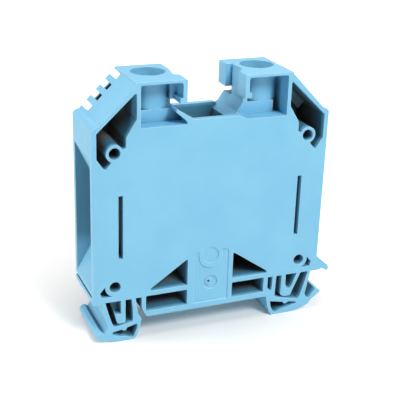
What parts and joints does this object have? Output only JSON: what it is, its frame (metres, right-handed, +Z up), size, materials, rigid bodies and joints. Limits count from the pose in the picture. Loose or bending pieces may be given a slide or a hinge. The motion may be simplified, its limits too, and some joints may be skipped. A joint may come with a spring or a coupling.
{
  "type": "feed-through terminal block",
  "caption": "Slim rail-mounted feed-through terminal block with clamping feet, a screw clamp at each end and a middle shaft.",
  "frame": {"origin": "in the plane of the soles, midway between the end walls and midway through the thickness", "axes": "+X along the wire from the left entry to the right one, +Y from the open front to the closed back, along the rail, +Z up from the rail to the screws"},
  "size_m": [0.0616, 0.0172, 0.0625],
  "materials": {
    "blue_polyamide": "fine satin moulding",
    "tinned_copper": "tin plated, satin",
    "passivated_steel": "passivated zinc",
    "zinc_plated_steel": "bright zinc"
  },
  "bodies": {
    "block": {"housing": "blue_polyamide", "current_bar": "tinned_copper"},
    "left_cage": {"left_clamping_cage": "passivated_steel"},
    "left_screw": {"left_clamping_screw": "zinc_plated_steel"},
    "right_cage": {"right_clamping_cage": "passivated_steel"},
    "right_screw": {"right_clamping_screw": "zinc_plated_steel"}
  },
  "joints": [
    {"name": "left_screw_turn", "type": "hinge", "parent": "block", "child": "left_screw", "pos_m": [-0.0131, 0.0016, 0.0517], "axis": [0, 0, 1], "range_deg": [-3240, 0]},
    {"name": "left_cage_lift", "type": "slide", "parent": "block", "child": "left_cage", "axis": [0, 0, 1], "range_m": [0, 0.009]},
    {"name": "right_screw_turn", "type": "hinge", "parent": "block", "child": "right_screw", "pos_m": [0.0139, 0.0016, 0.0517], "axis": [0, 0, 1], "range_deg": [-3240, 0]},
    {"name": "right_cage_lift", "type": "slide", "parent": "block", "child": "right_cage", "axis": [0, 0, 1], "range_m": [0, 0.009]}
  ],
  "couplings": [
    {"joint": "left_screw_turn", "follows": "left_cage_lift", "rad_per_m": -6283.2},
    {"joint": "right_screw_turn", "follows": "right_cage_lift", "rad_per_m": -6283.2}
  ]
}
